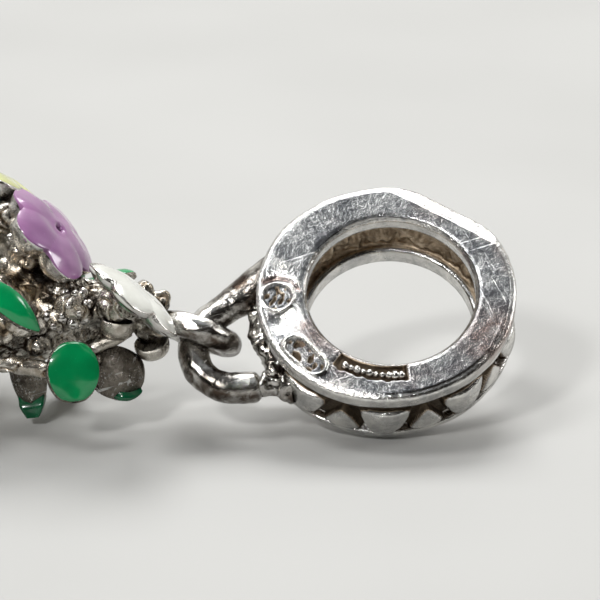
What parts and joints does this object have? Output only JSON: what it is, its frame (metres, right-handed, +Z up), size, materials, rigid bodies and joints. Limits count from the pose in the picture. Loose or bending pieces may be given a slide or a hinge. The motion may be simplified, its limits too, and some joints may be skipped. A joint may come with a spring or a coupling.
{
  "type": "flower pot charm",
  "caption": "Oxidised silver bracelet charm: a round bail ring with a patterned band and a hanging loop, and a small pot of enamelled flowers and leaves.",
  "frame": {"origin": "middle of the charm's outline, on the surface that it lies on", "axes": "+X from the pot's foot to the bail ring, +Z up, as it lies; +Y away from the viewer of the picture"},
  "size_m": [0.0206, 0.0068, 0.0069],
  "materials": {
    "silver": "worn polished silver, darkened in its recesses",
    "violet_enamel": "glossy",
    "cream_enamel": "glossy",
    "yellow_enamel": "glossy",
    "green_enamel": "glossy"
  },
  "bodies": {
    "root": {"bail": "silver", "pot": "silver", "bouquet": "silver", "violet_enamel": "violet_enamel", "white_enamel": "cream_enamel", "yellow_enamel": "yellow_enamel", "lilac_enamel": "violet_enamel", "long_leaf_enamel": "green_enamel", "round_leaf_enamel": "green_enamel", "back_leaf_enamel": "green_enamel", "foot_leaf_enamel": "green_enamel", "prop_leaf_enamel": "green_enamel", "top_leaf_enamel": "green_enamel", "side_leaf_enamel": "green_enamel"}
  },
  "joints": []
}
